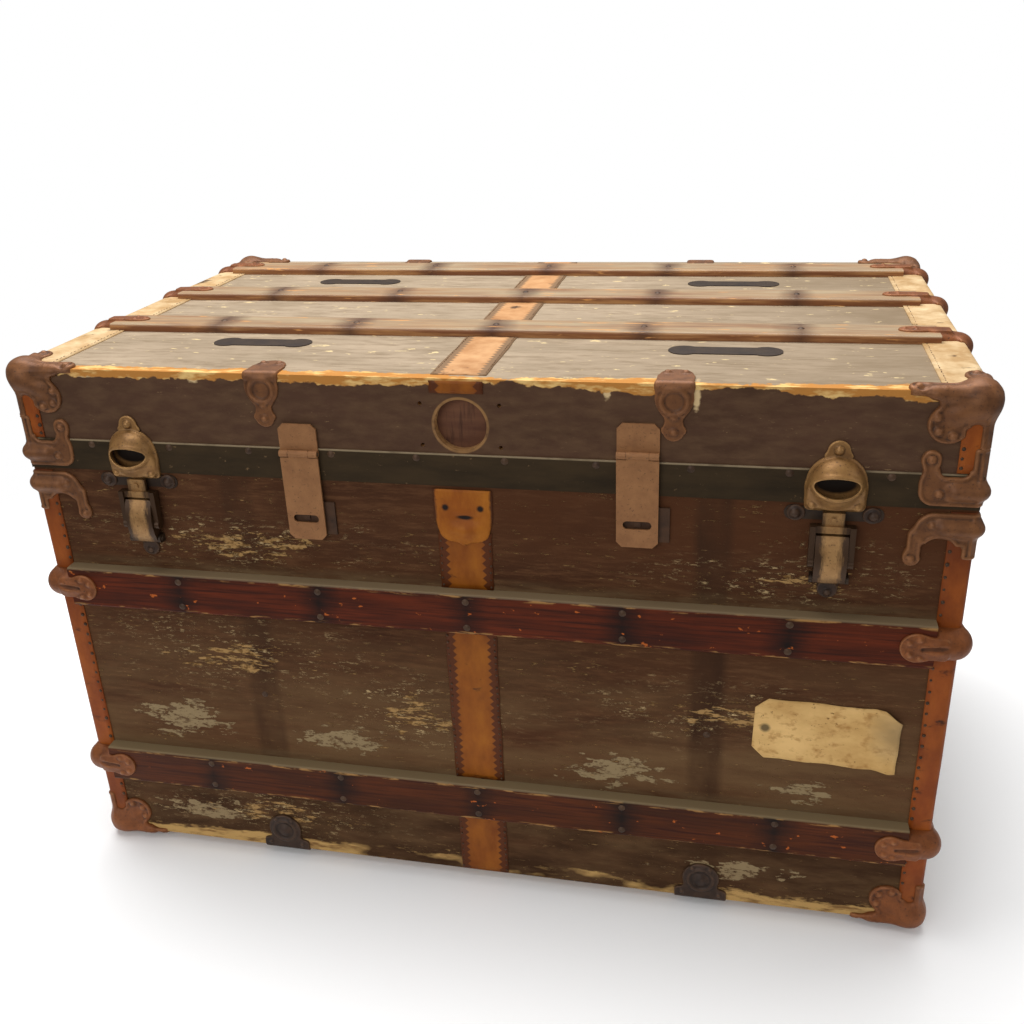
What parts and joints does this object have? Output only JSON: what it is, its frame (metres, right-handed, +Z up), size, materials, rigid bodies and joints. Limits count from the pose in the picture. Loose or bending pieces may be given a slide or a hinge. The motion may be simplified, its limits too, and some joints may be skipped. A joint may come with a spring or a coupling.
{
  "type": "travel trunk",
  "caption": "Flat-topped wooden travel trunk with canvas skin, slats, corner irons, hinged lid, two hasps, two draw latches, end handles and a lift-out tray.",
  "frame": {"origin": "middle of the floor area that the closed trunk covers, at floor level", "axes": "+X to the right along the trunk's length, -Y towards its front, +Z up"},
  "size_m": [0.972, 0.5753, 0.584],
  "materials": {
    "bare_wood": "raw softwood boards, aged",
    "canvas_brown": "dark brown painted canvas, flaked and worn",
    "slat_wood": "red-brown varnished hardwood slats",
    "rust_iron": "bronzed sheet iron with brown rust",
    "dark_iron": "blackened sheet iron",
    "hasp_iron": "matt tan-brown sheet iron",
    "latch_iron": "bronzed pressed steel, worn bright on the high spots",
    "pin_steel": "plain steel wire pins",
    "nail_iron": "dark domed nail heads",
    "leather": "orange-brown vegetable-tanned leather, cracked",
    "leather_pale": "sun-bleached leather",
    "tag_paper": "aged buff paper tag, bare",
    "tray_board": "paper-covered board",
    "tape": "cotton lifting tape"
  },
  "bodies": {
    "base": {"base_front_board": "bare_wood", "base_rear_board": "bare_wood", "base_left_board": "bare_wood", "base_right_board": "bare_wood", "base_bottom_board": "bare_wood", "base_canvas": "canvas_brown", "base_lip": "bare_wood", "front_upper_slat": "slat_wood", "front_lower_slat": "slat_wood", "rear_slats": "slat_wood", "bottom_runners": "bare_wood", "base_slat_clamps": "rust_iron", "base_nails": "nail_iron", "edge_bindings": "leather", "front_strap": "leather", "base_joint_corners": "rust_iron", "bottom_corners": "rust_iron", "bottom_edge_clamps": "dark_iron", "address_label": "tag_paper", "latch_plates": "latch_iron", "latch_pins": "pin_steel", "hasp_staples": "dark_iron", "hinge_base_leaves": "dark_iron", "hinge_pins": "pin_steel", "handle_left": "leather", "handle_right": "leather", "handle_caps": "rust_iron", "tray_runners": "bare_wood"},
    "tray": {"tray": "tray_board", "tray_divider": "tray_board", "tray_tapes": "tape"},
    "latch_lever_left": {"latch_lever_left": "latch_iron"},
    "latch_link_left": {"latch_link_left": "latch_iron"},
    "latch_lever_right": {"latch_lever_right": "latch_iron"},
    "latch_link_right": {"latch_link_right": "latch_iron"},
    "lid": {"lid_top_board": "bare_wood", "lid_front_board": "bare_wood", "lid_rear_board": "bare_wood", "lid_left_board": "bare_wood", "lid_right_board": "bare_wood", "lid_canvas": "canvas_brown", "lid_band": "dark_iron", "top_slat_front": "slat_wood", "top_slat_middle": "slat_wood", "top_slat_rear": "slat_wood", "top_slat_clamps": "rust_iron", "lid_nails": "nail_iron", "top_corners": "rust_iron", "lid_joint_corners": "rust_iron", "top_edge_clamps": "rust_iron", "repair_plates": "dark_iron", "top_straps": "leather_pale", "end_bindings": "leather_pale", "latch_domes": "latch_iron", "hasp_plates": "hasp_iron", "hasp_pins": "pin_steel", "hinge_lid_leaves": "dark_iron", "lock_backing_board": "bare_wood"},
    "hasp_left": {"hasp_leaf_left": "hasp_iron"},
    "hasp_right": {"hasp_leaf_right": "hasp_iron"}
  },
  "joints": [
    {"name": "lid_hinge", "type": "hinge", "parent": "base", "child": "lid", "pos_m": [0, 0.2785, 0.4672], "axis": [-1, 0, 0], "range_deg": [0, 100]},
    {"name": "hasp_left_hinge", "type": "hinge", "parent": "lid", "child": "hasp_left", "pos_m": [-0.157, -0.2723, 0.495], "axis": [-1, 0, 0], "range_deg": [0, 150]},
    {"name": "hasp_right_hinge", "type": "hinge", "parent": "lid", "child": "hasp_right", "pos_m": [0.1635, -0.2723, 0.506], "axis": [-1, 0, 0], "range_deg": [0, 150]},
    {"name": "tray_lift", "type": "slide", "parent": "base", "child": "tray", "axis": [0, 0, 1], "range_m": [0, 0.08]},
    {"name": "latch_lever_left_pivot", "type": "hinge", "parent": "base", "child": "latch_lever_left", "pos_m": [-0.3335, -0.2735, 0.397], "axis": [1, 0, 0], "range_deg": [0, 95]},
    {"name": "latch_link_left_pivot", "type": "hinge", "parent": "latch_lever_left", "child": "latch_link_left", "pos_m": [-0.3335, -0.275, 0.414], "axis": [1, 0, 0], "range_deg": [0, 60]},
    {"name": "latch_lever_right_pivot", "type": "hinge", "parent": "base", "child": "latch_lever_right", "pos_m": [0.3335, -0.2735, 0.397], "axis": [1, 0, 0], "range_deg": [0, 95]},
    {"name": "latch_link_right_pivot", "type": "hinge", "parent": "latch_lever_right", "child": "latch_link_right", "pos_m": [0.3335, -0.275, 0.414], "axis": [1, 0, 0], "range_deg": [0, 60]}
  ]
}
